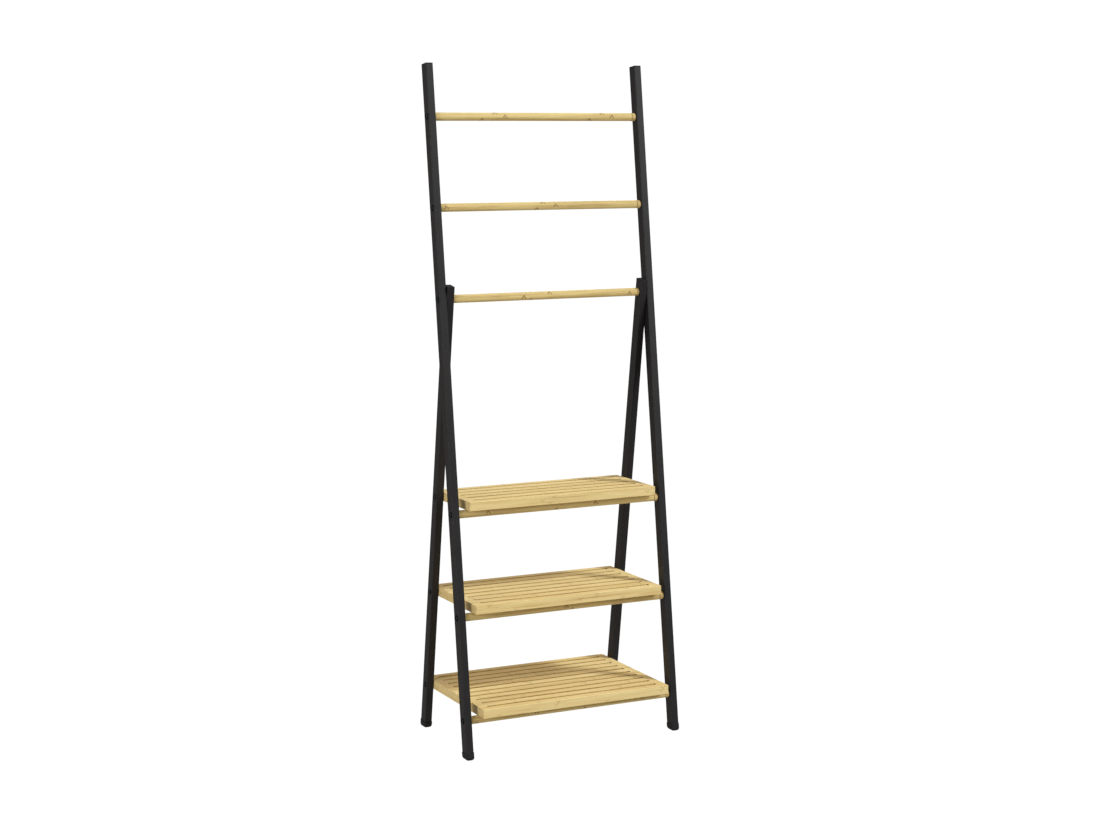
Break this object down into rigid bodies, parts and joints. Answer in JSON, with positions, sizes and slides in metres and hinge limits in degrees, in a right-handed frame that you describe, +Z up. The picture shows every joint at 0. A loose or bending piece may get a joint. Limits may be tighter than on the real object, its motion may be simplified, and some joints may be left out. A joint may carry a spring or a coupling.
{
  "type": "folding towel rack",
  "caption": "Free-standing folding rack: black A-frame with round bamboo towel rails above and slotted bamboo shelves below.",
  "frame": {"origin": "on the floor below the centre of the rack's bounding box", "axes": "+X to the right as seen from the shelves' front edges, +Y to the back, +Z up"},
  "size_m": [0.506, 0.3064, 1.4227],
  "materials": {
    "black_paint": "satin",
    "bamboo": "satin",
    "black_plastic": "matte",
    "black_hardware": "satin",
    "washer_nylon": "satin"
  },
  "bodies": {
    "ladder": {"post_left": "black_paint", "post_right": "black_paint", "post_plug_left": "black_plastic", "post_plug_right": "black_plastic", "post_foot_left": "black_plastic", "post_foot_right": "black_plastic", "upper_towel_rail": "bamboo", "upper_towel_rail_bolt_left": "black_hardware", "upper_towel_rail_bolt_right": "black_hardware", "lower_towel_rail": "bamboo", "lower_towel_rail_bolt_left": "black_hardware", "lower_towel_rail_bolt_right": "black_hardware", "top_rung": "bamboo", "top_rung_bolt_left": "black_hardware", "top_rung_bolt_right": "black_hardware", "middle_rung": "bamboo", "middle_rung_bolt_left": "black_hardware", "middle_rung_bolt_right": "black_hardware", "bottom_rung": "bamboo", "bottom_rung_bolt_left": "black_hardware", "bottom_rung_bolt_right": "black_hardware"},
    "rear_frame": {"leg_left": "black_paint", "leg_right": "black_paint", "leg_plug_left": "black_plastic", "leg_plug_right": "black_plastic", "leg_foot_left": "black_plastic", "leg_foot_right": "black_plastic", "hinge_rail": "bamboo", "hinge_rail_bolt_left": "black_hardware", "hinge_rail_bolt_right": "black_hardware", "hinge_washer_left": "washer_nylon", "hinge_washer_right": "washer_nylon"},
    "top_shelf_board": {"top_shelf": "bamboo", "top_shelf_screw_left": "black_hardware", "top_shelf_screw_right": "black_hardware", "top_shelf_washer_left": "washer_nylon", "top_shelf_washer_right": "washer_nylon"},
    "middle_shelf_board": {"middle_shelf": "bamboo", "middle_shelf_screw_left": "black_hardware", "middle_shelf_screw_right": "black_hardware", "middle_shelf_washer_left": "washer_nylon", "middle_shelf_washer_right": "washer_nylon"},
    "bottom_shelf_board": {"bottom_shelf": "bamboo", "bottom_shelf_screw_left": "black_hardware", "bottom_shelf_screw_right": "black_hardware", "bottom_shelf_washer_left": "washer_nylon", "bottom_shelf_washer_right": "washer_nylon"}
  },
  "joints": [
    {"name": "fold", "type": "hinge", "parent": "ladder", "child": "rear_frame", "pos_m": [0, -0.01086, 0.941], "axis": [-1, 0, 0], "range_deg": [0, 10.5]},
    {"name": "top_shelf_lift", "type": "hinge", "parent": "rear_frame", "child": "top_shelf_board", "pos_m": [0, 0.0544, 0.5195], "axis": [-1, 0, 0], "range_deg": [0, 75.5]},
    {"name": "middle_shelf_lift", "type": "hinge", "parent": "rear_frame", "child": "middle_shelf_board", "pos_m": [0, 0.08706, 0.3085], "axis": [-1, 0, 0], "range_deg": [0, 75.5]},
    {"name": "bottom_shelf_lift", "type": "hinge", "parent": "rear_frame", "child": "bottom_shelf_board", "pos_m": [0, 0.11973, 0.0975], "axis": [-1, 0, 0], "range_deg": [0, 75.5]}
  ],
  "couplings": [
    {"joint": "middle_shelf_lift", "follows": "top_shelf_lift", "ratio": 1},
    {"joint": "bottom_shelf_lift", "follows": "top_shelf_lift", "ratio": 1}
  ]
}
